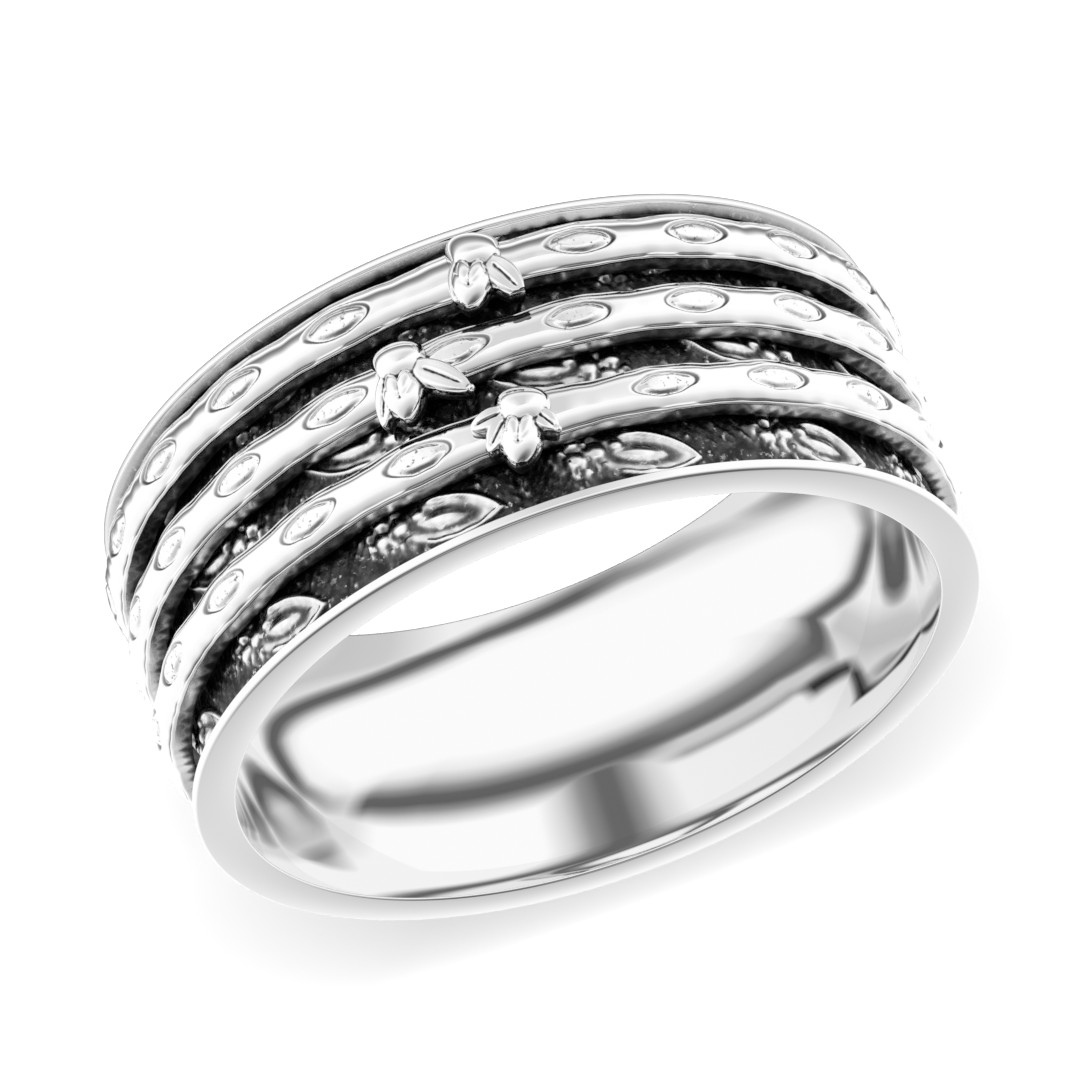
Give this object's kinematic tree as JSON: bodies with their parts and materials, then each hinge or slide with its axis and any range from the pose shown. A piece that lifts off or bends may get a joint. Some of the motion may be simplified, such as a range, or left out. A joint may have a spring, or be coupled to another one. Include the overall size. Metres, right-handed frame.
{
  "type": "spinner ring",
  "caption": "Wide finger ring with a flanged, channelled sleeve, cast leaf relief and loose dimpled bands that spin round it, each with a small bee.",
  "frame": {"origin": "on the finger's axis, midway between the ring's two end faces", "axes": "+Z along the finger, out of the front face; the ring lies on its back face; the bees sit towards -Y"},
  "size_m": [0.0208, 0.0214, 0.008],
  "materials": {
    "sleeve_silver": "polished bore and rims, blackened channel floor with bright relief",
    "spinner_silver": "mirror polish with dark outlines in the grooves"
  },
  "bodies": {
    "sleeve": {"base_band": "sleeve_silver"},
    "back_spinner": {"spinner_back": "spinner_silver"},
    "middle_spinner": {"spinner_middle": "spinner_silver"},
    "front_spinner": {"spinner_front": "spinner_silver"}
  },
  "joints": [
    {"name": "back_spin", "type": "hinge", "parent": "sleeve", "child": "back_spinner", "pos_m": [0, 0, 0], "axis": [0, 0, 1], "continuous": true},
    {"name": "middle_spin", "type": "hinge", "parent": "sleeve", "child": "middle_spinner", "pos_m": [0, 0, 0], "axis": [0, 0, 1], "continuous": true},
    {"name": "front_spin", "type": "hinge", "parent": "sleeve", "child": "front_spinner", "pos_m": [0, 0, 0], "axis": [0, 0, 1], "continuous": true}
  ]
}
